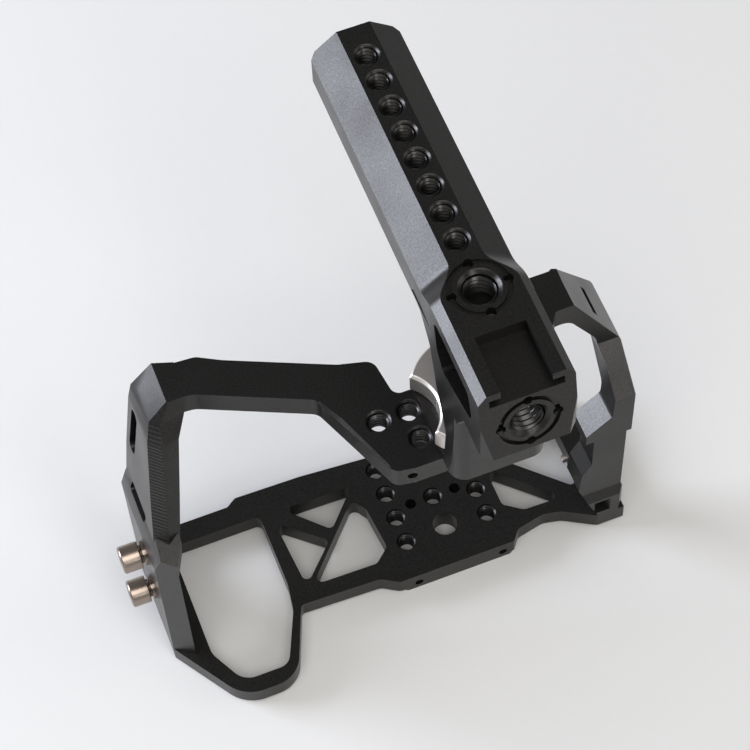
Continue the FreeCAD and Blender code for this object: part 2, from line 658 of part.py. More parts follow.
def upper_left_end():
    """The foot of the left post: it widens to match the wall below the seam."""
    end_z = SEAM_Z + LEFT_END_HEIGHT
    inner = LEFT_UPRIGHT_INNER_X + 5.0
    plan = [
        (CAGE_LEFT_X, SIDE_BACK_Y),
        (CAGE_LEFT_X, LEFT_UPRIGHT_FRONT_Y),
        (LEFT_UPRIGHT_INNER_X, LEFT_UPRIGHT_FRONT_Y - LEFT_UPRIGHT_BEVEL),
        (inner, LEFT_UPRIGHT_FRONT_Y + 3.7),
        (inner, SIDE_BACK_Y),
    ]
    front = [
        (CAGE_LEFT_X, SEAM_Z),
        (CAGE_LEFT_X, SEAM_Z + 4.4),
        (CAGE_LEFT_X + 1.5, SEAM_Z + 9.2),
        (CAGE_LEFT_X + 2.6, end_z),
        (CAGE_LEFT_X + 9.0, end_z),
        (LEFT_UPRIGHT_INNER_X + 2.6, SEAM_Z + 7.2, 2.0),
        (LEFT_UPRIGHT_INNER_X, SEAM_Z + 3.8),
        (LEFT_UPRIGHT_INNER_X, SEAM_Z),
    ]
    low_y = LEFT_UPRIGHT_FRONT_Y - LEFT_UPRIGHT_BEVEL - CUT_MARGIN
    side = [
        (SIDE_BACK_Y + CUT_MARGIN, SEAM_Z),
        (low_y, SEAM_Z),
        (low_y, end_z - 3.0),
        (LEFT_UPRIGHT_FRONT_Y + 5.1, end_z),
        (SIDE_BACK_Y + CUT_MARGIN, end_z),
    ]
    end = prism_z(plan, SEAM_Z, end_z).common(prism_y(front, low_y, SIDE_BACK_Y + CUT_MARGIN))
    return end.common(prism_x(side, CAGE_LEFT_X - CUT_MARGIN, inner + CUT_MARGIN))


def strap_slots():
    """The two strap slots in the left post."""
    half = STRAP_SLOT_WIDTH / 2.0
    low_z = SEAM_Z + STRAP_SLOT_RISE
    high_z = low_z + STRAP_SLOT_LENGTH
    upper = [
        (STRAP_SLOT_Y - half, high_z, half - 0.1),
        (STRAP_SLOT_Y + half, high_z, half - 0.1),
        (STRAP_SLOT_Y + half, low_z, half - 0.1),
        (STRAP_SLOT_Y - half, low_z, half - 0.1),
    ]
    slot_z = SEAM_Z + LOWER_SLOT_RISE
    lower = [
        (LOWER_SLOT_FRONT_Y, slot_z, 1.2),
        (LOWER_SLOT_BACK_Y, slot_z, 1.2),
        (LOWER_SLOT_BACK_Y, slot_z + LOWER_SLOT_WIDTH, 1.2),
        (LOWER_SLOT_FRONT_Y, slot_z + LOWER_SLOT_WIDTH, 1.2),
    ]
    start = CAGE_LEFT_X - CUT_MARGIN
    end = TOP_LEFT_X + 1.5
    return [prism_x(upper, start, end), prism_x(lower, start, end)]


def upper_right_post():
    """The right side of the upper half: sloped shoulder, slanted front facet and strut."""
    seam_inner_x = PLATE_RIGHT_X - RIGHT_SEAM_WIDTH
    post_inner_x = PLATE_RIGHT_X - SHOULDER_THICK
    bar_end_x = TOP_RIGHT_X - 7.5
    front = [
        (seam_inner_x, SEAM_Z),
        (PLATE_RIGHT_X, SEAM_Z),
        (PLATE_RIGHT_X, SHOULDER_Z),
        (TOP_RIGHT_X, CAGE_HEIGHT),
        (bar_end_x, CAGE_HEIGHT),
        (bar_end_x, TOP_BAR_Z),
        (TOP_RIGHT_X - 1.0, TOP_BAR_Z, 4.0),
        (post_inner_x - 1.6, SHOULDER_Z + 4.3, 8.0),
        (post_inner_x, SHOULDER_Z - 4.2),
        (post_inner_x - 0.5, SEAM_Z + 11.0, 2.0),
        (seam_inner_x, SEAM_Z + 4.2),
    ]
    facet_z = SHOULDER_Z - 11.2
    facet_run = SHOULDER_FRONT_Y - RIGHT_FRONT_Y
    side = [
        (RIGHT_FRONT_Y, SEAM_Z),
        (RIGHT_FRONT_Y, facet_z),
        (SHOULDER_FRONT_Y, facet_z + facet_run),
        (SHOULDER_FRONT_Y, CAGE_HEIGHT),
        (SHOULDER_BACK_Y, CAGE_HEIGHT),
        (SHOULDER_BACK_Y + 7.0, SHOULDER_Z + 0.8, 2.0),
        (SHOULDER_BACK_Y + 4.9, SHOULDER_Z - 4.2, 2.0),
        (RIGHT_UPPER_BACK_Y + 9.2, SHOULDER_Z - 4.2, 2.0),
        (RIGHT_UPPER_BACK_Y, SHOULDER_Z - 14.2, 4.0),
        (RIGHT_UPPER_BACK_Y, SEAM_Z),
    ]
    across = prism_x(side, bar_end_x - CUT_MARGIN, PLATE_RIGHT_X + CUT_MARGIN)
    return prism_y(front, RIGHT_FRONT_Y - CUT_MARGIN, PLATE_BACK_Y).common(across)


def shoulder_slot():
    """The strap slot through the sloped right shoulder."""
    slope = Vector(TOP_RIGHT_X - PLATE_RIGHT_X, 0, CAGE_HEIGHT - SHOULDER_Z).normalize()
    outward = Vector(slope.z, 0, -slope.x)
    along = Vector(0, 1, 0)
    y = (SHOULDER_FRONT_Y + SHOULDER_BACK_Y) / 2.0 + SHOULDER_SLOT_SHIFT
    middle = Vector(PLATE_RIGHT_X, y, SHOULDER_Z) + slope * SHOULDER_SLOT_RISE
    half_long = SHOULDER_SLOT_LENGTH / 2.0
    half_wide = SHOULDER_SLOT_WIDTH / 2.0
    start = middle - outward * (SHOULDER_THICK + 6.0)
    corners = []
    for s, t in ((-1, -1), (1, -1), (1, 1), (-1, 1)):
        corners.append(start + along * (s * half_long) + slope * (t * half_wide))
    face = Part.Face(Part.makePolygon(corners + [corners[0]]))
    return face.extrude(outward * (SHOULDER_THICK + 8.0))


def tab_holes():
    """The threads in the tab, the hole in its edge and the seats of the handle."""
    holes = []
    back_y = TAB_THREAD_BACK_Y
    outer_x = TAB_THREAD_X + TAB_THREAD_PITCH
    places = [(-outer_x, back_y)]
    for x in (-TAB_THREAD_X, TAB_THREAD_X):
        places += [(x, back_y), (x, back_y - TAB_THREAD_PITCH)]
    for x, y in places:
        mouth = Vector(x, y, CAGE_HEIGHT)
        holes.append(tapped_hole(mouth, DOWN, TOP_BAR_THICK + CUT_MARGIN, QUARTER_THREAD_D, QUARTER_MOUTH_D))
    edge_mouth = Vector(TAB_EDGE_HOLE_X, TAB_FRONT_Y - CUT_MARGIN, CAGE_HEIGHT - TOP_BAR_THICK / 2.0)
    holes.append(rod(EDGE_HOLE_D, edge_mouth, REARWARD, EDGE_HOLE_DEPTH))
    stud_bore = STUD_D + 2.0 * STUD_RUNNING_CLEARANCE
    stud_start = Vector(0, KNOB_AXIS_Y, TOP_BAR_Z - CUT_MARGIN)
    holes.append(rod(stud_bore, stud_start, UP, TOP_BAR_THICK + 2 * CUT_MARGIN))
    seat_depth = TWIST_PIN_ENGAGEMENT + SEAT_CLEARANCE
    for x in (-TWIST_PIN_SPACING / 2.0, TWIST_PIN_SPACING / 2.0):
        start = Vector(x, KNOB_AXIS_Y, CAGE_HEIGHT - seat_depth)
        holes.append(rod(TWIST_PIN_D + 2 * TWIST_PIN_CLEARANCE, start, UP, seat_depth + CUT_MARGIN))
    return holes


def upper_cage():
    """Top bars, tab and both upper sides in one piece, with its two tongues."""
    body = prism_z(top_outline(), TOP_BAR_Z, CAGE_HEIGHT)
    body = body.fuse([upper_left_post(), upper_right_post()])
    body = body.cut([diagonal_pocket(), shoulder_slot()] + tab_holes() + strap_slots())
    left = left_tenon(0.0)
    for z in SIDE_SCREW_HEIGHTS:
        bore = SIDE_SCREW_SHANK_D + 2.0 * SCREW_RUNNING_CLEARANCE
        left = left.cut(rod(bore, side_screw_axis(z), RIGHTWARD, LEFT_UPRIGHT_THICK))
    right = right_tenon(0.0)
    right = right.cut(rod(BACK_SCREW_D, back_screw_seat(), FORWARD, RIGHT_STRUT_DEPTH))
    return one_solid(body.fuse([left, right]))


def grip_section(y):
    """Section of the grip: flat top, two bevels, side walls and a narrower underside."""
    half = [
        (GRIP_TOP_HALF, HANDLE_TOP_Z),
        (GRIP_HALF, GRIP_SHOULDER_Z),
        (GRIP_HALF, GRIP_WALL_BOTTOM_Z),
        (GRIP_UNDERSIDE_HALF, GRIP_UNDERSIDE_Z),
    ]
    return [(x, y, z) for x, z in half] + [(-x, y, z) for x, z in reversed(half)]


def swell_section(y, share):
    """Section of the handle between the slim grip and the wide head."""
    top_half = GRIP_TOP_HALF + (HEAD_TOP_HALF - GRIP_TOP_HALF) * share
    wall = GRIP_HALF + (HEAD_HALF - GRIP_HALF) * share
    shoulder = GRIP_SHOULDER_Z + (HANDLE_TOP_Z - HEAD_CHAMFER - GRIP_SHOULDER_Z) * share
    half = [
        (top_half, HANDLE_TOP_Z),
        (wall, shoulder),
        (wall, GRIP_WALL_BOTTOM_Z),
        (GRIP_UNDERSIDE_HALF + (wall - GRIP_UNDERSIDE_HALF) * share, GRIP_UNDERSIDE_Z),
    ]
    return [(x, y, z) for x, z in half] + [(-x, y, z) for x, z in reversed(half)]


def handle_swell():
    """The part of the handle that widens smoothly from the grip to the head."""
    steps = 8
    stations = []
    for i in range(steps + 1):
        t = i / steps
        share = (1.0 - math.cos(math.pi * t)) / 2.0
        stations.append(swell_section(SWELL_START_Y + (SWELL_END_Y - SWELL_START_Y) * t, share))
    return loft(stations)


def handle_head():
    """The wide front of the handle, with a slanted front face."""
    half = [
        (HEAD_TOP_HALF, HANDLE_TOP_Z),
        (HEAD_HALF, HANDLE_TOP_Z - HEAD_CHAMFER),
        (HEAD_HALF, HEAD_UNDERSIDE_Z),
    ]
    head = prism_y(half + [(-x, z) for x, z in reversed(half)], HEAD_FRONT_BOTTOM_Y, SWELL_END_Y)
    side = [
        (SWELL_END_Y, HANDLE_TOP_Z),
        (HEAD_FRONT_TOP_Y, HANDLE_TOP_Z),
        (HEAD_FRONT_BOTTOM_Y, HEAD_UNDERSIDE_Z),
        (SWELL_END_Y, HEAD_UNDERSIDE_Z),
    ]
    corner = HEAD_CORNER_CHAMFER
    plan = [
        (-HEAD_HALF, SWELL_END_Y),
        (-HEAD_HALF, HEAD_FRONT_BOTTOM_Y + corner),
        (-HEAD_HALF + corner, HEAD_FRONT_BOTTOM_Y),
        (HEAD_HALF - corner, HEAD_FRONT_BOTTOM_Y),
        (HEAD_HALF, HEAD_FRONT_BOTTOM_Y + corner),
        (HEAD_HALF, SWELL_END_Y),
    ]
    head = head.common(prism_x(side, -HEAD_HALF, HEAD_HALF))
    return head.common(prism_z(plan, HEAD_UNDERSIDE_Z - CUT_MARGIN, HANDLE_TOP_Z + CUT_MARGIN))


def handle_leg():
    """The leg under the head and the thin foot that stands on the tab."""
    top_z = GRIP_WALL_BOTTOM_Z + 1.5
    hip_z = HANDLE_TOP_Z - 31.0
    side = [
        (SWELL_START_Y + 4.0, top_z),
        (SWELL_START_Y - 1.5, top_z - 1.0, 1.0),
        (SWELL_START_Y - 7.6, HEAD_UNDERSIDE_Z + 1.2, 4.0),
        (LEG_REAR_Y + 6.3, hip_z - 4.2, 12.0),
        (LEG_REAR_Y, FOOT_TOP_Z + 11.9, 4.0),
        (LEG_REAR_Y, FOOT_TOP_Z, 2.0),
        (FOOT_REAR_Y, FOOT_TOP_Z),
        (FOOT_REAR_Y, CAGE_HEIGHT),
        (LEG_FRONT_Y, CAGE_HEIGHT),
        (LEG_FRONT_Y, hip_z + 1.0, 5.0),
        (LEG_FRONT_Y - 4.2, HEAD_UNDERSIDE_Z),
        (LEG_FRONT_Y - 4.2, top_z),
    ]
    front = [
        (-HEAD_HALF, top_z),
        (-HEAD_HALF, hip_z - 9.0, 20.0),
        (-FOOT_HALF, FOOT_TOP_Z + 3.9),
        (-FOOT_HALF, CAGE_HEIGHT),
        (FOOT_HALF, CAGE_HEIGHT),
        (FOOT_HALF, FOOT_TOP_Z + 3.9),
        (HEAD_HALF, hip_z - 9.0, 20.0),
        (HEAD_HALF, top_z),
    ]
    plan = [
        (-FOOT_HALF, FOOT_REAR_Y),
        (-FOOT_HALF, LEG_FRONT_Y, LEG_CORNER_R),
        (FOOT_HALF, LEG_FRONT_Y, LEG_CORNER_R),
        (FOOT_HALF, FOOT_REAR_Y),
    ]
    stock = FOOT_HALF + CUT_MARGIN
    leg = prism_x(side, -stock, stock)
    leg = leg.common(prism_y(front, HEAD_FRONT_BOTTOM_Y, SWELL_START_Y + 5.0))
    lower = leg.common(prism_z(plan, CAGE_HEIGHT, hip_z))
    upper = leg.common(box(-stock, stock, HEAD_FRONT_BOTTOM_Y, SWELL_START_Y + 5.0, hip_z, top_z))
    return lower.fuse(upper)


def handle_cuts():
    """The threads, window, wheel relief and seats that are machined in the handle."""
    cuts = []
    for y in rows(HANDLE_HOLE_FIRST_Y, HANDLE_HOLE_PITCH, HANDLE_HOLE_COUNT):
        mouth = Vector(0, y, HANDLE_TOP_Z)
        cuts.append(tapped_hole(mouth, DOWN, HANDLE_HOLE_DEPTH, QUARTER_THREAD_D, QUARTER_MOUTH_D))
    window = [
        (TOP_INSERT_Y - 0.8, HANDLE_TOP_Z - 5.6, 2.0),
        (HEAD_FRONT_TOP_Y + 5.4, HANDLE_TOP_Z - 6.2, 2.0),
        (HEAD_FRONT_TOP_Y + 2.9, HANDLE_TOP_Z - 14.6, 2.5),
        (TOP_INSERT_Y - 6.7, HEAD_UNDERSIDE_Z + 2.1, 2.0),
        (TOP_INSERT_Y - 3.0, HEAD_UNDERSIDE_Z + 6.4, 2.0),
    ]
    cuts.append(prism_x(window, -HEAD_HALF - CUT_MARGIN, HEAD_HALF + CUT_MARGIN))
    relief_r = KNOB_R + KNOB_LEG_CLEARANCE
    relief_start = Vector(0, KNOB_AXIS_Y, FOOT_TOP_Z)
    cuts.append(rod(2.0 * relief_r, relief_start, UP, KNOB_THICK + KNOB_HUB_HEIGHT + 1.5))
    below = Vector(0, KNOB_AXIS_Y, CAGE_HEIGHT - CUT_MARGIN)
    cuts.append(rod(KNOB_BORE_D, below, UP, FOOT_THICK + 2 * CUT_MARGIN))
    ring_room = RETAINING_RING_D + 2 * SEAT_CLEARANCE
    ring_depth = RETAINING_RING_LIFT + RETAINING_RING_THICK + SEAT_CLEARANCE
    cuts.append(rod(ring_room, below, UP, ring_depth + CUT_MARGIN))
    for x in (-TWIST_PIN_SPACING / 2.0, TWIST_PIN_SPACING / 2.0):
        cuts.append(rod(TWIST_PIN_D, below + RIGHTWARD * x, UP, TWIST_PIN_SEAT + CUT_MARGIN))
    cuts += insert_cuts(top_insert_mouth(), DOWN)
    cuts += insert_cuts(front_insert_mouth(), front_insert_direction())
    cuts += shoe_cuts()
    return cuts


def rear_end_cuts():
    """The chamfers beside the flat rear end of the grip."""
    c = GRIP_REAR_CHAMFER
    y = HANDLE_REAR_Y
    cuts = []
    for s in (-1, 1):
        side = [
            (s * GRIP_HALF, y - c),
            (s * (GRIP_HALF - c - CUT_MARGIN), y + CUT_MARGIN),
            (s * (GRIP_HALF + CUT_MARGIN), y + CUT_MARGIN),
        ]
        cuts.append(prism_z(side, GRIP_UNDERSIDE_Z - CUT_MARGIN, HANDLE_TOP_Z + CUT_MARGIN))
    return cuts


def shoe_cuts():
    """The accessory shoe: a wide channel under two lips, open at the front face."""
    floor_z = HANDLE_TOP_Z - SHOE_LIP_THICK - SHOE_CHANNEL_HEIGHT
    gap = SHOE_LIP_GAP / 2.0
    wide = SHOE_CHANNEL_WIDTH / 2.0
    front = HEAD_FRONT_BOTTOM_Y - CUT_MARGIN
    return [
        box(-gap, gap, front, SHOE_BACK_Y, floor_z, HANDLE_TOP_Z + CUT_MARGIN),
        box(-wide, wide, front, SHOE_BACK_Y, floor_z, floor_z + SHOE_CHANNEL_HEIGHT),
    ]


def handle_body():
    """Grip, head, leg and foot in one piece."""
    grip = loft([grip_section(HANDLE_REAR_Y), grip_section(SWELL_START_Y)])
    body = grip.fuse([handle_swell(), handle_head(), handle_leg()])
    return one_solid(body.cut(handle_cuts() + rear_end_cuts()))


def top_insert_mouth():
    """Where the top insert's axis meets the top of the head."""
    return Vector(0, TOP_INSERT_Y, HANDLE_TOP_Z)


def front_slope():
    """How far the front face runs forward for each millimetre down."""
    return (HEAD_FRONT_TOP_Y - HEAD_FRONT_BOTTOM_Y) / HEAD_DEPTH


def front_insert_mouth():
    """Where the front insert's axis meets the slanted front face."""
    return Vector(0, HEAD_FRONT_TOP_Y - front_slope() * FRONT_INSERT_DROP, FRONT_INSERT_Z)


def front_insert_direction():
    """Into the head, square to the slanted front face."""
    return Vector(0, 1.0, -front_slope()).normalize()


def key_slots(mouth, direction, depth):
    """Four round slots that straddle the rim of an insert."""
    side = Vector(1, 0, 0)
    other = direction.cross(side)
    slots = []
    for arm in (side, other, side * -1.0, other * -1.0):
        start = mouth + arm * KEY_SLOT_RADIUS - direction * CUT_MARGIN
        slots.append(rod(KEY_SLOT_D, start, direction, depth + CUT_MARGIN))
    return slots


def insert_cuts(mouth, direction):
    """The seat of an insert: bore, rim groove and key slots."""
    start = mouth - direction * CUT_MARGIN
    return [
        rod(INSERT_D, start, direction, INSERT_DEPTH + CUT_MARGIN),
        rod(INSERT_GROOVE_D, start, direction, INSERT_GROOVE_DEPTH + CUT_MARGIN),
    ] + key_slots(mouth, direction, KEY_SLOT_DEPTH)


def thread_insert(mouth, direction):
    """A three-eighths threaded sleeve that screws into the handle head."""
    sleeve = rod(INSERT_D, mouth, direction, INSERT_DEPTH)
    thread = tapped_hole(mouth, direction, INSERT_DEPTH + CUT_MARGIN, THREE_EIGHTHS_D, THREE_EIGHTHS_MOUTH_D)
    return one_solid(sleeve.cut([thread] + key_slots(mouth, direction, KEY_SLOT_DEPTH)))


def handle_knob():
    """The scalloped thumb wheel with its raised hub."""
    axis = Vector(0, KNOB_AXIS_Y, KNOB_BOTTOM_Z)
    wheel = rod(2.0 * KNOB_R, axis, UP, KNOB_THICK)
    for i in range(SCALLOP_COUNT):
        angle = math.pi + 2.0 * math.pi * i / SCALLOP_COUNT
        x = SCALLOP_OFFSET * math.cos(angle)
        y = KNOB_AXIS_Y + SCALLOP_OFFSET * math.sin(angle)
        start = Vector(x, y, KNOB_BOTTOM_Z - CUT_MARGIN)
        wheel = wheel.cut(rod(2.0 * SCALLOP_R, start, UP, KNOB_THICK + 2 * CUT_MARGIN))
    rims = []
    for edge in wheel.Edges:
        heights = [v.Z for v in edge.Vertexes]
        if min(heights) == max(heights):
            rims.append(edge)
    wheel = wheel.makeChamfer(KNOB_EDGE_CHAMFER, rims)
    hub = cone(KNOB_HUB_D, KNOB_HUB_D - 1.0, Vector(0, KNOB_AXIS_Y, KNOB_TOP_Z), UP, KNOB_HUB_HEIGHT)
    seat = rod(STUD_NECK_D, axis - UP * CUT_MARGIN, UP, KNOB_THICK + CUT_MARGIN)
    return one_solid(wheel.fuse(hub).cut(seat))


def knob_stud():
    """The stud that is pressed into the wheel and screws into the cage's tab."""
    bottom = TOP_BAR_Z + STUD_RECESS
    shoulder = CAGE_HEIGHT - STUD_RECESS
    thread = rod(STUD_D, Vector(0, KNOB_AXIS_Y, bottom), UP, shoulder - bottom)
    neck = rod(STUD_NECK_D, Vector(0, KNOB_AXIS_Y, shoulder), UP, KNOB_TOP_Z - shoulder)
    return one_solid(thread.fuse(neck))


def thrust_washer():
    """The flat washer between the wheel and the foot."""
    start = Vector(0, KNOB_AXIS_Y, FOOT_TOP_Z)
    bore = KNOB_BORE_D + 2.0 * SEAT_CLEARANCE
    ring = rod(THRUST_WASHER_D, start, UP, THRUST_WASHER_THICK)
    return ring.cut(rod(bore, start - UP * CUT_MARGIN, UP, THRUST_WASHER_THICK + 2 * CUT_MARGIN))


def retaining_ring():
    """The open ring under the foot that keeps the stud in the handle."""
    z = CAGE_HEIGHT + RETAINING_RING_LIFT
    start = Vector(0, KNOB_AXIS_Y, z)
    tall = RETAINING_RING_THICK + 2 * CUT_MARGIN
    ring = rod(RETAINING_RING_D, start, UP, RETAINING_RING_THICK)
    ring = ring.cut(rod(STUD_NECK_D, start - UP * CUT_MARGIN, UP, tall))
    gap = RETAINING_RING_GAP / 2.0
    end_y = KNOB_AXIS_Y + RETAINING_RING_D
    return one_solid(ring.cut(box(-gap, gap, KNOB_AXIS_Y, end_y, z - CUT_MARGIN, z - CUT_MARGIN + tall)))


def anti_twist_pins():
    """Two dowels that stop the handle turning on the tab."""
    pins = []
    for x in (-TWIST_PIN_SPACING / 2.0, TWIST_PIN_SPACING / 2.0):
        start = Vector(x, KNOB_AXIS_Y, CAGE_HEIGHT - TWIST_PIN_ENGAGEMENT)
        pins.append(rod(TWIST_PIN_D, start, UP, TWIST_PIN_ENGAGEMENT + TWIST_PIN_SEAT))
    return Part.makeCompound(pins)


def hex_socket(centre_y, centre_z, across_flats, x0, x1):
    """The six-sided space of a socket that opens toward the left."""
    radius = across_flats / math.sqrt(3.0)
    points = []
    for i in range(6):
        angle = math.pi / 3.0 * i
        points.append((centre_y + radius * math.cos(angle), centre_z + radius * math.sin(angle)))
    return prism_x(points, x0, x1)


def side_screw(z):
    """A socket head screw: head, collar under the head and shank in the tongue."""
    face = side_screw_axis(z)
    collar_end = face + LEFTWARD * SIDE_WASHER_THICK
    head_start = collar_end + LEFTWARD * SIDE_COLLAR_LEN
    head = rod(SIDE_SCREW_HEAD_D, head_start, LEFTWARD, SIDE_SCREW_HEAD_LEN - SIDE_SCREW_HEAD_CHAMFER)
    crown_start = head_start + LEFTWARD * (SIDE_SCREW_HEAD_LEN - SIDE_SCREW_HEAD_CHAMFER)
    crown_d = SIDE_SCREW_HEAD_D - 2.0 * SIDE_SCREW_HEAD_CHAMFER
    crown = cone(SIDE_SCREW_HEAD_D, crown_d, crown_start, LEFTWARD, SIDE_SCREW_HEAD_CHAMFER)
    collar = rod(SIDE_COLLAR_D, collar_end, LEFTWARD, SIDE_COLLAR_LEN)
    shank_end = face + RIGHTWARD * (LEFT_UPRIGHT_THICK / 2.0 + TENON_THICK / 2.0)
    shank = rod(SIDE_SCREW_SHANK_D, shank_end, LEFTWARD, (shank_end - collar_end).Length)
    tip_x = head_start.x - SIDE_SCREW_HEAD_LEN
    socket = hex_socket(LEFT_TENON_Y, z, SIDE_SCREW_SOCKET_AF, tip_x - CUT_MARGIN, tip_x + SIDE_SCREW_SOCKET_DEPTH)
    return one_solid(head.fuse([crown, collar, shank]).cut(socket))


def side_washer(z):
    """The washer between a screw's collar and the side of the cage."""
    face = side_screw_axis(z)
    ring = rod(SIDE_WASHER_D, face, LEFTWARD, SIDE_WASHER_THICK)
    bore = SIDE_SCREW_SHANK_D + 2.0 * SCREW_RUNNING_CLEARANCE
    return ring.cut(rod(bore, face + RIGHTWARD * CUT_MARGIN, LEFTWARD, SIDE_WASHER_THICK + 2 * CUT_MARGIN))


def right_joint_screw():
    """The small screw that holds the right tongue from behind."""
    seat = back_screw_seat()
    head_end = seat + FORWARD * BACK_SCREW_HEAD_LEN
    head = rod(BACK_SCREW_HEAD_D, seat, FORWARD, BACK_SCREW_HEAD_LEN)
    tongue_front = RIGHT_TENON_Y - RIGHT_TENON_THICK / 2.0
    shank = rod(BACK_SCREW_D, head_end, FORWARD, head_end.y - tongue_front)
    return one_solid(head.fuse(shank))


def rail_pin():
    """The short pin in the plate's right rail, a little proud inside the opening."""
    start = rail_screw_start()
    return rod(RAIL_SCREW_D, start, LEFTWARD, start.x - RAIL_OPENING_X + RAIL_SCREW_PROUD)


def build():
    """All pieces by name."""
    upper_z, lower_z = SIDE_SCREW_HEIGHTS
    return {
        "lower_cage": lower_cage(),
        "upper_cage": upper_cage(),
        "handle_body": handle_body(),
        "top_thread_insert": thread_insert(top_insert_mouth(), DOWN),
        "front_thread_insert": thread_insert(front_insert_mouth(), front_insert_direction()),
        "handle_knob": handle_knob(),
        "knob_stud": knob_stud(),
        "thrust_washer": thrust_washer(),
        "retaining_ring": retaining_ring(),
        "anti_twist_pins": anti_twist_pins(),
        "side_screw_upper": side_screw(upper_z),
        "side_screw_lower": side_screw(lower_z),
        "side_washer_upper": side_washer(upper_z),
        "side_washer_lower": side_washer(lower_z),
        "right_joint_screw": right_joint_screw(),
        "rail_pin": rail_pin(),
    }


os.makedirs("parts", exist_ok=True)
for name, shape in build().items():
    shape.exportStep("parts/" + name + ".step")
    print(name, len(shape.Solids), round(shape.Volume, 1), shape.isValid())
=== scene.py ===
"""Camera cage with a clamped top handle: finishes, threads, edge work, light and camera."""

import logging
import math
from dataclasses import dataclass, field
from enum import Enum

import bpy
from mathutils import Matrix, Vector

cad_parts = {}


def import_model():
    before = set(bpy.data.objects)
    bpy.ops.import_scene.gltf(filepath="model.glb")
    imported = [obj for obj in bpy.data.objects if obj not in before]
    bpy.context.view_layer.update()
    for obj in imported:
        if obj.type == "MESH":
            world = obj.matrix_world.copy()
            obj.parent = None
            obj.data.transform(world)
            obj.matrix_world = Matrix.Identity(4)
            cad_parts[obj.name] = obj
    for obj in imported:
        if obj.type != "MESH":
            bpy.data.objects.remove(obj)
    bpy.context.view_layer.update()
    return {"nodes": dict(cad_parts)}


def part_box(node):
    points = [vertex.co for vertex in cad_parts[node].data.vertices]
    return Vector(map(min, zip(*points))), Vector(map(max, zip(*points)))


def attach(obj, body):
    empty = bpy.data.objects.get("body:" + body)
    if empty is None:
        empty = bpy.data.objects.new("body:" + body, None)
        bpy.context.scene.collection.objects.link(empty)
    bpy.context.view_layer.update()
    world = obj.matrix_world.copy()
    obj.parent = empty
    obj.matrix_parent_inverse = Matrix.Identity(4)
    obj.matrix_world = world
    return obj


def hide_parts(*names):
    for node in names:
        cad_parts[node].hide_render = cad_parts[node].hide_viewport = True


LOG = logging.getLogger("camera_cage")
MM = 0.001
MERGE_MM = 0.002
FLAT_DEGREES = 0.6
EDGE_DEGREES = 28.0
SMOOTH_DEGREES = 35.0
ROUND_DEGREES = 40.0


class Body(Enum):
    """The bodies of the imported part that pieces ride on."""

    CAGE = "cage"
    WHEEL = "thumb_wheel"
    UPPER_SCREW = "upper_screw"
    LOWER_SCREW = "lower_screw"


class Slot(Enum):
    """The record's material slots."""

    BLACK = "black_anodised"
    INSERT = "dark_inserts"
    STEEL = "steel_parts"


def linear(hex_colour: str) -> tuple[float, float, float, float]:
    """Turn an sRGB hex value to a linear colour.

    Args:
        hex_colour: six hex digits.

    Returns:
        Linear red, green, blue and an alpha of one.
    """
    parts = [int(hex_colour[i:i + 2], 16) / 255.0 for i in (0, 2, 4)]
    lin = [c / 12.92 if c <= 0.04045 else ((c + 0.055) / 1.055) ** 2.4 for c in parts]
    return (lin[0], lin[1], lin[2], 1.0)


def add_node(
    tree: bpy.types.NodeTree,
    kind: str,
    settings: dict[str, object] | None = None,
    links: dict[str, bpy.types.NodeSocket] | None = None,
) -> bpy.types.Node:
    """Add a node with its settings and links.

    Args:
        tree: the node tree.
        kind: the node's type name.
        settings: attributes, or input values when the name is an input's.
        links: input name to the socket that feeds it.

    Returns:
        The new node.
    """
    node = tree.nodes.new(kind)
    for name, value in (settings or {}).items():
        if hasattr(node, name):
            setattr(node, name, value)
    for name, value in (settings or {}).items():
        if not hasattr(node, name):
            key = int(name[1:]) if name.startswith("#") else name
            node.inputs[key].default_value = value
    for name, socket in (links or {}).items():
        key = int(name[1:]) if name.startswith("#") else name
        tree.links.new(socket, node.inputs[key])
    return node


def start_material(name: str) -> tuple[bpy.types.Material, bpy.types.NodeTree, bpy.types.Node]:
    """Make an empty material with its shader.

    Args:
        name: the material's name.

    Returns:
        The material, its tree and its principled shader.
    """
    material = bpy.data.materials.new(name)
    material.use_nodes = True
    tree = material.node_tree
    tree.nodes.clear()
    shader = add_node(tree, "ShaderNodeBsdfPrincipled")
    add_node(tree, "ShaderNodeOutputMaterial", links={"Surface": shader.outputs[0]})
    return material, tree, shader


def wave_scale(pitch_mm: float) -> float:
    """The scale that gives a wave texture one real pitch.

    Args:
        pitch_mm: the distance between two crests in millimetres.

    Returns:
        The texture's scale in object coordinates of metres.
    """
    return 2.0 * math.pi / 20.0 / (pitch_mm * MM)


def scaled_noise(tree: bpy.types.NodeTree, size_mm: float, detail: float = 2.0) -> bpy.types.NodeSocket:
    """A noise whose blobs are about one real size across.

    Args:
        tree: the node tree.
        size_mm: the size of a blob in millimetres.
        detail: levels of finer noise.

    Returns:
        The noise's value.
    """
    place = add_node(tree, "ShaderNodeTexCoord")
    noise = add_node(
        tree, "ShaderNodeTexNoise",
        {"Scale": 1000.0 / size_mm, "Detail": detail, "Roughness": 0.6},
        {"Vector": place.outputs["Object"]},
    )
    return noise.outputs[0]


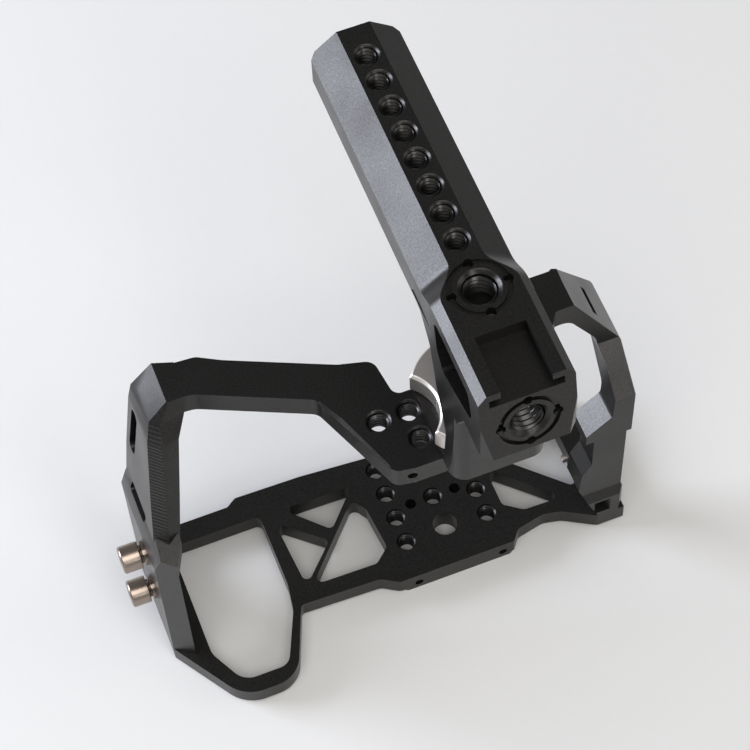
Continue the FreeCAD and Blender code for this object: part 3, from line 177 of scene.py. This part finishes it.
@dataclass(frozen=True)
class AnodisedAluminium:
    """Bead-blasted aluminium with a black hard-anodised skin: dark, even, with a fine grain."""

    name: str = "black_anodised_aluminium"
    colour: str = "2b2a29"
    worn_colour: str = "3a3938"
    roughness: float = 0.32
    grain_mm: float = 0.42  # coarser than a blasted grain, which is finer than a pixel
    cloud_mm: float = 14.0
    bump_strength: float = 0.55
    grain_height_mm: float = 0.012

    def build(self) -> bpy.types.Material:
        """Make the finish.

        Returns:
            The finished material.
        """
        material, tree, shader = start_material(self.name)
        shader.inputs["Metallic"].default_value = 0.85
        speckle = scaled_noise(tree, self.grain_mm)
        grain = add_node(
            tree, "ShaderNodeMapRange", {"From Min": 0.3, "From Max": 0.7}, {"Value": speckle},
        ).outputs[0]
        cloud = scaled_noise(tree, self.cloud_mm, 1.0)
        tint = add_node(
            tree, "ShaderNodeMix",
            {"data_type": "RGBA", "#6": linear(self.colour), "#7": linear(self.worn_colour)},
            {"#0": grain},
        )
        tree.links.new(tint.outputs[2], shader.inputs["Base Color"])
        rough = add_node(
            tree, "ShaderNodeMapRange",
            {"To Min": self.roughness - 0.06, "To Max": self.roughness + 0.08},
            {"Value": cloud},
        )
        tree.links.new(rough.outputs[0], shader.inputs["Roughness"])
        height = self.relief(tree, grain)
        bump = add_node(
            tree, "ShaderNodeBump",
            {"Strength": self.bump_strength, "Distance": self.grain_height_mm * MM},
            {"Height": height},
        )
        tree.links.new(bump.outputs[0], shader.inputs["Normal"])
        return material

    def relief(self, tree: bpy.types.NodeTree, grain: bpy.types.NodeSocket) -> bpy.types.NodeSocket:
        """The height that the bump reads; here it is only the blasted grain.

        Args:
            tree: the node tree; not used here.
            grain: the grain's value.

        Returns:
            The height value.
        """
        return grain


@dataclass(frozen=True)
class BallMilledAluminium(AnodisedAluminium):
    """The same skin over rows of shallow scallops that a ball cutter leaves on a bevel."""

    name: str = "ball_milled_aluminium"
    pitch_mm: float = 1.15
    grain_height_mm: float = 0.16
    tilt_degrees: float = 10.0
    grain_share: float = 0.15

    def relief(self, tree: bpy.types.NodeTree, grain: bpy.types.NodeSocket) -> bpy.types.NodeSocket:
        """Rows of scallops with a little of the grain on top.

        Args:
            tree: the node tree.
            grain: the grain's value.

        Returns:
            The height value.
        """
        place = add_node(tree, "ShaderNodeTexCoord")
        turned = add_node(
            tree, "ShaderNodeMapping",
            {"Rotation": (math.radians(self.tilt_degrees), math.radians(-self.tilt_degrees), 0.0)},
            {"Vector": place.outputs["Object"]},
        )
        rows = add_node(
            tree, "ShaderNodeTexWave",
            {
                "wave_type": "BANDS", "bands_direction": "Z", "wave_profile": "SIN",
                "Scale": wave_scale(self.pitch_mm), "Distortion": 0.3, "Detail": 0.0,
            },
            {"Vector": turned.outputs[0]},
        )
        mixed = add_node(
            tree, "ShaderNodeMath",
            {"operation": "MULTIPLY_ADD", "#1": self.grain_share},
            {"#0": grain, "#2": rows.outputs[0]},
        )
        return mixed.outputs[0]


@dataclass(frozen=True)
class StainlessSteel:
    """Turned stainless steel: warm silver with fine rings round its axis."""

    name: str
    centre_mm: tuple[float, float, float]
    axis: str = "Z"
    colour: str = "ddd7d1"
    roughness: float = 0.24
    ring_pitch_mm: float = 0.22  # coarser than tool marks, which are finer than a pixel

    def build(self) -> bpy.types.Material:
        """Make the finish.

        Returns:
            The finished material.
        """
        material, tree, shader = start_material(self.name)
        shader.inputs["Metallic"].default_value = 1.0
        place = add_node(tree, "ShaderNodeTexCoord")
        shift = tuple(-c * MM for c in self.centre_mm)
        centred = add_node(
            tree, "ShaderNodeMapping", {"Location": shift}, {"Vector": place.outputs["Object"]},
        )
        rings = add_node(
            tree, "ShaderNodeTexWave",
            {
                "wave_type": "RINGS", "rings_direction": self.axis, "wave_profile": "SIN",
                "Scale": wave_scale(self.ring_pitch_mm), "Distortion": 0.4, "Detail": 1.0,
            },
            {"Vector": centred.outputs[0]},
        )
        shader.inputs["Base Color"].default_value = linear(self.colour)
        rough = add_node(
            tree, "ShaderNodeMapRange",
            {"To Min": self.roughness - 0.05, "To Max": self.roughness + 0.12},
            {"Value": rings.outputs[0]},
        )
        tree.links.new(rough.outputs[0], shader.inputs["Roughness"])
        bump = add_node(
            tree, "ShaderNodeBump", {"Strength": 0.2, "Distance": 0.006 * MM}, {"Height": rings.outputs[0]},
        )
        tree.links.new(bump.outputs[0], shader.inputs["Normal"])
        return material


@dataclass(frozen=True)
class BlackenedSteel:
    """Blackened steel threads: near black with an oily gloss on the crests."""

    name: str = "blackened_steel"
    colour: str = "3c3b3b"
    haze_colour: str = "4c4b4a"
    roughness: float = 0.28
    haze_mm: float = 0.8

    def build(self) -> bpy.types.Material:
        """Make the finish.

        Returns:
            The finished material.
        """
        material, tree, shader = start_material(self.name)
        shader.inputs["Metallic"].default_value = 0.9
        haze = scaled_noise(tree, self.haze_mm, 2.0)
        tint = add_node(
            tree, "ShaderNodeMix",
            {"data_type": "RGBA", "#6": linear(self.colour), "#7": linear(self.haze_colour)},
            {"#0": haze},
        )
        tree.links.new(tint.outputs[2], shader.inputs["Base Color"])
        rough = add_node(
            tree, "ShaderNodeMapRange",
            {"To Min": self.roughness - 0.04, "To Max": self.roughness + 0.1}, {"Value": haze},
        )
        tree.links.new(rough.outputs[0], shader.inputs["Roughness"])
        return material


@dataclass(frozen=True)
class StudioPaper:
    """Matt pale paper of the studio floor."""

    name: str = "studio_paper"
    colour: str = "d6d6d5"
    fibre_colour: str = "d8d8d7"
    fibre_mm: float = 3.0

    def build(self) -> bpy.types.Material:
        """Make the finish.

        Returns:
            The finished material.
        """
        material, tree, shader = start_material(self.name)
        shader.inputs["Roughness"].default_value = 0.9
        fibre = scaled_noise(tree, self.fibre_mm, 3.0)
        tint = add_node(
            tree, "ShaderNodeMix",
            {"data_type": "RGBA", "#6": linear(self.colour), "#7": linear(self.fibre_colour)},
            {"#0": fibre},
        )
        tree.links.new(tint.outputs[2], shader.inputs["Base Color"])
        return material


def deselect_all() -> None:
    """Leave nothing selected."""
    if bpy.context.mode != "OBJECT":
        bpy.ops.object.mode_set(mode="OBJECT")
    bpy.ops.object.select_all(action="DESELECT")


def activate(piece: bpy.types.Object) -> None:
    """Select one piece alone and make it active.

    Args:
        piece: the piece.
    """
    deselect_all()
    piece.select_set(True)
    bpy.context.view_layer.objects.active = piece


def apply_modifier(piece: bpy.types.Object, name: str) -> None:
    """Apply one modifier of a piece.

    Args:
        piece: the piece.
        name: the modifier's name.
    """
    activate(piece)
    bpy.ops.object.modifier_apply(modifier=name)


def seat(piece: bpy.types.Object, body: Body) -> None:
    """Let a piece ride on its body and log it.

    Args:
        piece: the piece.
        body: the body that it rides on.
    """
    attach(piece, body.value)
    LOG.info("piece %s rides on %s", piece.name, body.value)


def put_material(piece: bpy.types.Object, material: bpy.types.Material) -> None:
    """Give a piece one material for all its faces.

    Args:
        piece: the piece.
        material: the material.
    """
    piece.data.materials.clear()
    piece.data.materials.append(material)


def edged_copy(
    node: bpy.types.Object, name: str, width_mm: float, segments: int = 2,
) -> bpy.types.Object:
    """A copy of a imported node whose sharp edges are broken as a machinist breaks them.

    Args:
        node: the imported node.
        name: the new piece's name.
        width_mm: the width of the broken edge.
        segments: faces across the edge.

    Returns:
        The new piece.
    """
    piece = bpy.data.objects.new(name, node.data.copy())
    bpy.context.scene.collection.objects.link(piece)
    piece.data.materials.clear()
    activate(piece)
    bpy.ops.mesh.customdata_custom_splitnormals_clear()
    bpy.ops.object.mode_set(mode="EDIT")
    bpy.ops.mesh.select_all(action="SELECT")
    bpy.ops.mesh.remove_doubles(threshold=MERGE_MM * MM)
    bpy.ops.mesh.dissolve_limited(angle_limit=math.radians(FLAT_DEGREES))
    bpy.ops.object.mode_set(mode="OBJECT")
    bevel = piece.modifiers.new("broken_edges", "BEVEL")
    bevel.width = width_mm * MM
    bevel.segments = segments
    bevel.limit_method = "ANGLE"
    bevel.angle_limit = math.radians(EDGE_DEGREES)
    bevel.use_clamp_overlap = True
    bevel.miter_outer = "MITER_ARC"
    bevel.harden_normals = False
    apply_modifier(piece, "broken_edges")
    bpy.ops.object.shade_smooth_by_angle(angle=math.radians(SMOOTH_DEGREES))
    even = piece.modifiers.new("even_faces", "WEIGHTED_NORMAL")
    even.keep_sharp = True
    even.weight = 100
    apply_modifier(piece, "even_faces")
    return piece


@dataclass
class ThreadSize:
    """The sizes of one internal thread, in millimetres."""

    bore_d: float
    depth: float = 0.5
    pitch: float = 1.27
    steps: int = 22
    root_overlap: float = 0.03
    crest_start: float = 0.42
    crest_end: float = 0.58
    wall: float = 0.05

    def model(self, name: str, length: float) -> bpy.types.Object:
        """Cut a helical thread that runs down from z = 0.

        Args:
            name: the piece's name.
            length: how long the thread is.

        Returns:
            The thread as one piece at the origin.
        """
        deselect_all()
        bpy.ops.mesh.primitive_circle_add(vertices=4, radius=self.bore_d / 2.0 * MM, fill_type="NOTHING")
        piece = bpy.context.object
        piece.name = name
        root = self.bore_d / 2.0 + self.root_overlap
        crest = root - self.depth
        rises = (0.0, self.crest_start * self.pitch, self.crest_end * self.pitch, self.pitch)
        profile = list(zip((root, crest, crest, root), rises))
        for vertex, (radius, rise) in zip(piece.data.vertices, profile):
            vertex.co = (radius * MM, 0.0, (rise - length - 2.0 * self.pitch) * MM)
        bpy.ops.object.mode_set(mode="EDIT")
        bpy.ops.mesh.select_mode(type="EDGE")
        bpy.ops.mesh.select_all(action="DESELECT")
        bpy.ops.object.mode_set(mode="OBJECT")
        for edge in piece.data.edges:
            edge.select = sorted(edge.vertices) == [0, 3]
        bpy.ops.object.mode_set(mode="EDIT")
        bpy.ops.mesh.delete(type="EDGE")
        bpy.ops.object.mode_set(mode="OBJECT")
        screw = piece.modifiers.new("helix", "SCREW")
        screw.axis = "Z"
        screw.screw_offset = self.pitch * MM
        screw.iterations = int(length / self.pitch) + 3
        screw.steps = self.steps
        screw.render_steps = self.steps
        screw.use_merge_vertices = True
        screw.merge_threshold = 0.001 * MM
        apply_modifier(piece, "helix")
        self.trim(piece, -length)
        wall = piece.modifiers.new("wall", "SOLIDIFY")
        wall.thickness = self.wall * MM
        wall.offset = 0.0
        apply_modifier(piece, "wall")
        bpy.ops.object.shade_smooth_by_angle(angle=math.radians(ROUND_DEGREES))
        return piece

    def trim(self, piece: bpy.types.Object, bottom: float) -> None:
        """Cut the helix flat at both ends and merge its turns.

        Args:
            piece: the helix.
            bottom: height of its lower end.
        """
        activate(piece)
        bpy.ops.object.mode_set(mode="EDIT")
        bpy.ops.mesh.select_all(action="SELECT")
        bpy.ops.mesh.remove_doubles(threshold=MERGE_MM * MM)
        for height, clear_inner, clear_outer in ((0.0, False, True), (bottom, True, False)):
            bpy.ops.mesh.select_all(action="SELECT")
            bpy.ops.mesh.bisect(
                plane_co=(0.0, 0.0, height * MM), plane_no=(0.0, 0.0, 1.0),
                clear_inner=clear_inner, clear_outer=clear_outer,
            )
        bpy.ops.mesh.select_all(action="SELECT")
        bpy.ops.mesh.normals_make_consistent(inside=True)
        bpy.ops.object.mode_set(mode="OBJECT")


@dataclass
class ThreadGroup:
    """Equal threads at several places of one body, joined to one piece."""

    name: str
    size: ThreadSize
    length: float
    mouths: list[tuple[float, float, float]]
    direction: tuple[float, float, float] = (0.0, 0.0, 1.0)
    inset: float = 0.55

    def build(self, material: bpy.types.Material) -> bpy.types.Object:
        """Model one thread, copy it to each place and join the copies.

        Args:
            material: the thread's finish.

        Returns:
            The joined piece.
        """
        first = self.size.model(self.name, self.length)
        turn = Vector((0.0, 0.0, 1.0)).rotation_difference(Vector(self.direction)).to_matrix().to_4x4()
        copies = []
        for mouth in self.mouths[1:]:
            copy = bpy.data.objects.new(self.name + "_copy", first.data.copy())
            bpy.context.scene.collection.objects.link(copy)
            copies.append((copy, mouth))
        for piece, mouth in [(first, self.mouths[0])] + copies:
            start = Vector(mouth) * MM - Vector(self.direction).normalized() * self.inset * MM
            piece.data.transform(Matrix.Translation(start) @ turn)
        deselect_all()
        for copy, _ in copies:
            copy.select_set(True)
        first.select_set(True)
        bpy.context.view_layer.objects.active = first
        if copies:
            bpy.ops.object.join()
        put_material(first, material)
        seat(first, Body.CAGE)
        return first


@dataclass
class CageFrame:
    """The two machined halves of the cage with their threads."""

    nodes: dict[str, bpy.types.Object]
    skin: bpy.types.Material
    milled: bpy.types.Material
    thread_finish: bpy.types.Material
    edge_mm: float = 0.45
    quarter_thread: ThreadSize = field(default_factory=lambda: ThreadSize(5.6))
    plate_top: float = 7.4
    plate_thread: float = 6.4
    centre_hole_y: float = 9.8
    column_x: float = 12.6
    column_y: float = -1.2
    column_pitch: float = 8.4
    column_holes: int = 4
    tab_thread: float = 6.2
    tab_x: float = 15.6
    tab_left_x: float = -23.8
    tab_rows_y: tuple[float, float] = (-15.4, -23.6)
    post_right_x: float = -70.0
    post_z: tuple[float, float] = (60.0, 103.0)
    bevel_normal: tuple[float, float] = (-0.3, -0.45)

    def build(self) -> None:
        """Build both halves and their threads."""
        lower = edged_copy(self.nodes["lower_cage"], "cage_lower_half", self.edge_mm)
        upper = edged_copy(self.nodes["upper_cage"], "cage_upper_half", self.edge_mm)
        for piece, node in ((lower, "lower_cage"), (upper, "upper_cage")):
            put_material(piece, self.skin)
            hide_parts(node)
            seat(piece, Body.CAGE)
        self.dress_post(upper)
        self.build_threads()

    def dress_post(self, upper: bpy.types.Object) -> None:
        """Give the front bevel of the left post its milled rows.

        Args:
            upper: the upper half.
        """
        upper.data.materials.append(self.milled)
        for face in upper.data.polygons:
            middle = face.center / MM
            normal_x, normal_y = self.bevel_normal
            faces_front_left = face.normal.y < normal_y and face.normal.x < normal_x
            on_post = middle.x < self.post_right_x and self.post_z[0] < middle.z < self.post_z[1]
            if on_post and faces_front_left:
                face.material_index = 1

    def build_threads(self) -> None:
        """The threads of the plate and of the tab."""
        places = [(0.0, self.centre_hole_y, self.plate_top)]
        places += [
            (x, self.column_y + self.column_pitch * k, self.plate_top)
            for x in (-self.column_x, self.column_x) for k in range(self.column_holes)
        ]
        ThreadGroup("plate_threads", self.quarter_thread, self.plate_thread, places).build(self.thread_finish)
        tab_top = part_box("upper_cage")[1].z / MM
        places = [(self.tab_left_x, self.tab_rows_y[0], tab_top)]
        places += [(x, y, tab_top) for x in (-self.tab_x, self.tab_x) for y in self.tab_rows_y]
        ThreadGroup("tab_threads", self.quarter_thread, self.tab_thread, places).build(self.thread_finish)


@dataclass
class TopHandle:
    """The machined handle with its thread inserts, its row of threads and its shoe."""

    nodes: dict[str, bpy.types.Object]
    skin: bpy.types.Material
    thread_finish: bpy.types.Material
    edge_mm: float = 0.4
    hole_pitch: float = 8.35
    first_hole_y: float = -9.5
    hole_count: int = 8
    row_thread: float = 9.6
    insert_edge_mm: float = 0.25
    insert_thread: float = 7.4
    insert_inset: float = 1.1
    head_hole_y: float = -23.7
    head_base_y: float = 55.8
    head_top_y: float = 51.3
    head_height: float = 22.2
    front_hole_drop: float = 12.8

    def build(self) -> None:
        """Build the handle, its inserts and its threads."""
        handle = edged_copy(self.nodes["handle_body"], "top_handle", self.edge_mm)
        put_material(handle, self.skin)
        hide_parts("handle_body")
        seat(handle, Body.CAGE)
        for node in ("top_thread_insert", "front_thread_insert"):
            insert = edged_copy(self.nodes[node], node + "_sleeve", self.insert_edge_mm)
            put_material(insert, self.skin)
            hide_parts(node)
            seat(insert, Body.CAGE)
        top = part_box("handle_body")[1].z / MM
        places = [(0.0, self.first_hole_y + self.hole_pitch * k, top) for k in range(self.hole_count)]
        ThreadGroup("handle_threads", ThreadSize(5.6), self.row_thread, places).build(self.thread_finish)
        big = ThreadSize(8.6, depth=0.6, pitch=1.5875, steps=30)
        ThreadGroup(
            "head_top_threads", big, self.insert_thread, [(0.0, self.head_hole_y, top)],
            inset=self.insert_inset,
        ).build(self.thread_finish)
        slope = (self.head_base_y - self.head_top_y) / self.head_height
        mouth = (0.0, -self.head_top_y - slope * self.front_hole_drop, top - self.front_hole_drop)
        outward = tuple(Vector((0.0, -1.0, slope)).normalized())
        ThreadGroup(
            "head_front_threads", big, self.insert_thread, [mouth], outward, self.insert_inset,
        ).build(self.thread_finish)


@dataclass
class Hardware:
    """The thumb wheel, the screws and the other bright metal."""

    nodes: dict[str, bpy.types.Object]
    wheel_axis: tuple[float, float, float] = (0.0, -20.4, 0.0)
    wheel_roughness: float = 0.36
    wheel_edge_mm: float = 0.3
    small_edge_mm: float = 0.25
    screw_colour: str = "978a80"

    def build(self) -> None:
        """Dress every steel piece."""
        wheel_steel = StainlessSteel(
            "turned_wheel_steel", self.wheel_axis, roughness=self.wheel_roughness,
        ).build()
        self.edged("handle_knob", "thumb_wheel", self.wheel_edge_mm, wheel_steel, Body.WHEEL)
        for name in ("knob_stud", "retaining_ring", "thrust_washer", "anti_twist_pins"):
            put_material(self.nodes[name], wheel_steel)
        for place, body in (("upper", Body.UPPER_SCREW), ("lower", Body.LOWER_SCREW)):
            low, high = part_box("side_screw_" + place)
            middle = (low + high) / 2.0 / MM
            steel = StainlessSteel(
                "turned_screw_steel_" + place, tuple(middle), "X", self.screw_colour,
            ).build()
            self.edged("side_screw_" + place, "cap_screw_" + place, self.small_edge_mm, steel, body)
            put_material(self.nodes["side_washer_" + place], steel)
        rail_low, rail_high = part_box("rail_pin")
        pin_steel = StainlessSteel("pin_steel", tuple((rail_low + rail_high) / 2.0 / MM), "X").build()
        self.edged("rail_pin", "rail_pin_rounded", self.small_edge_mm, pin_steel, Body.CAGE)
        put_material(self.nodes["right_joint_screw"], pin_steel)

    def edged(self, node: str, name: str, width_mm: float, finish: bpy.types.Material, body: Body) -> None:
        """Replace one steel node by its edged copy.

        Args:
            node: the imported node.
            name: the new piece's name.
            width_mm: the width of the broken edges.
            finish: its material.
            body: the body that it rides on.
        """
        piece = edged_copy(self.nodes[node], name, width_mm)
        put_material(piece, finish)
        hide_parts(node)
        seat(piece, body)


@dataclass
class Softbox:
    """One soft studio lamp, in metres and watts."""

    name: str
    place: tuple[float, float, float]
    aim: tuple[float, float, float]
    width: float
    height: float
    watts: float
    colour: str = "ffffff"

    def build(self) -> None:
        """Hang the lamp."""
        light = bpy.data.lights.new(self.name, "AREA")
        light.shape = "RECTANGLE"
        light.size = self.width
        light.size_y = self.height
        light.energy = self.watts
        light.color = linear(self.colour)[:3]
        lamp = bpy.data.objects.new(self.name, light)
        bpy.context.scene.collection.objects.link(lamp)
        lamp.location = self.place
        lamp.rotation_euler = (Vector(self.aim) - Vector(self.place)).to_track_quat("-Z", "Y").to_euler()
        lamp.visible_camera = False


@dataclass
class Studio:
    """The pale sweep, the lamps and the camera."""

    floor_radius: float = 1.6
    bend_radius: float = 0.5
    wall_height: float = 0.9
    bend_faces: int = 12
    sweep_steps: int = 96
    air_strength: float = 0.26
    focal_px: float = 2485.55
    image_px: float = 750.0
    azimuth: float = -18.29
    elevation: float = 59.56
    roll: float = 3.33
    camera_mm: tuple[float, float, float] = (-120.1, -306.49, 654.44)

    def build(self) -> None:
        """Build the sweep, hang the lamps and set the camera."""
        self.build_sweep()
        for lamp in self.lamps():
            lamp.build()
        world = bpy.data.worlds.new("studio_air")
        bpy.context.scene.world = world
        world.use_nodes = True
        world.node_tree.nodes["Background"].inputs[0].default_value = (1.0, 1.0, 1.0, 1.0)
        world.node_tree.nodes["Background"].inputs[1].default_value = self.air_strength
        bpy.context.scene.view_settings.view_transform = "Standard"
        self.build_camera()

    def lamps(self) -> list[Softbox]:
        """List the lamps.

        Returns:
            The studio's soft lamps.
        """
        centre = (-0.02, 0.0, 0.09)
        return [
            Softbox("window_left_back", (-0.92, 0.55, 0.42), centre, 0.62, 0.42, 15.5, "eaf0ff"),
            Softbox("top_front", (-0.25, -0.65, 1.6), centre, 1.5, 1.1, 19.0, "fffcf8"),
            Softbox("front_edge", (0.22, -1.05, 0.66), centre, 0.4, 0.3, 2.2, "ffffff"),
            Softbox("fill_right", (1.0, -0.35, 0.55), centre, 0.7, 0.7, 2.0, "fff6ee"),
        ]

    def build_sweep(self) -> None:
        """A round paper floor that curves up to a wall all round."""
        deselect_all()
        count = self.bend_faces
        bpy.ops.mesh.primitive_circle_add(vertices=count + 3, radius=1.0, fill_type="NOTHING")
        sweep = bpy.context.object
        sweep.name = "paper_sweep"
        profile = [(0.0, 0.0)]
        for i in range(count + 1):
            angle = math.pi / 2.0 * i / count
            across = self.floor_radius + self.bend_radius * math.sin(angle)
            profile.append((across, self.bend_radius * (1.0 - math.cos(angle))))
        profile.append((self.floor_radius + self.bend_radius, self.wall_height))
        last = len(profile) - 1
        for vertex, (across, height) in zip(sweep.data.vertices, profile):
            vertex.co = (across, 0.0, height)
        for edge in sweep.data.edges:
            edge.select = sorted(edge.vertices) == [0, last]
        bpy.ops.object.mode_set(mode="EDIT")
        bpy.ops.mesh.select_mode(type="EDGE")
        bpy.ops.mesh.delete(type="EDGE")
        bpy.ops.object.mode_set(mode="OBJECT")
        spin = sweep.modifiers.new("spin", "SCREW")
        spin.axis = "Z"
        spin.steps = self.sweep_steps
        spin.render_steps = self.sweep_steps
        spin.use_merge_vertices = True
        apply_modifier(sweep, "spin")
        bpy.ops.object.mode_set(mode="EDIT")
        bpy.ops.mesh.select_all(action="SELECT")
        bpy.ops.mesh.normals_make_consistent(inside=True)
        bpy.ops.object.mode_set(mode="OBJECT")
        bpy.ops.object.shade_smooth_by_angle(angle=math.radians(ROUND_DEGREES))
        put_material(sweep, StudioPaper().build())

    def build_camera(self) -> None:
        """Set the camera at the photographed viewing angle."""
        azimuth, elevation, roll = (math.radians(a) for a in (self.azimuth, self.elevation, self.roll))
        back = Vector((
            math.sin(azimuth) * math.cos(elevation),
            -math.cos(azimuth) * math.cos(elevation),
            math.sin(elevation),
        ))
        level = (-back).cross(Vector((0.0, 0.0, 1.0))).normalized()
        down = (-back).cross(level)
        right = math.cos(roll) * level + math.sin(roll) * down
        up = -(-math.sin(roll) * level + math.cos(roll) * down)
        data = bpy.data.cameras.new("photo_camera")
        data.sensor_width = 36.0
        data.lens = self.focal_px / self.image_px * data.sensor_width
        data.clip_start = 0.01
        data.clip_end = 50.0
        camera = bpy.data.objects.new("photo_camera", data)
        bpy.context.scene.collection.objects.link(camera)
        turn = Matrix((right, up, back)).transposed().to_4x4()
        camera.matrix_world = Matrix.Translation(Vector(self.camera_mm) * MM) @ turn
        bpy.context.scene.camera = camera


def main() -> None:
    """Build the cage, the handle, the hardware and the studio in order."""
    logging.basicConfig(level=logging.INFO)
    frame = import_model()
    nodes = frame["nodes"]
    skin = AnodisedAluminium().build()
    milled = BallMilledAluminium().build()
    thread_finish = BlackenedSteel().build()
    CageFrame(nodes, skin, milled, thread_finish).build()
    TopHandle(nodes, skin, thread_finish).build()
    Hardware(nodes).build()
    Studio().build()
    bpy.context.view_layer.update()


if __name__ == "__main__":
    main()
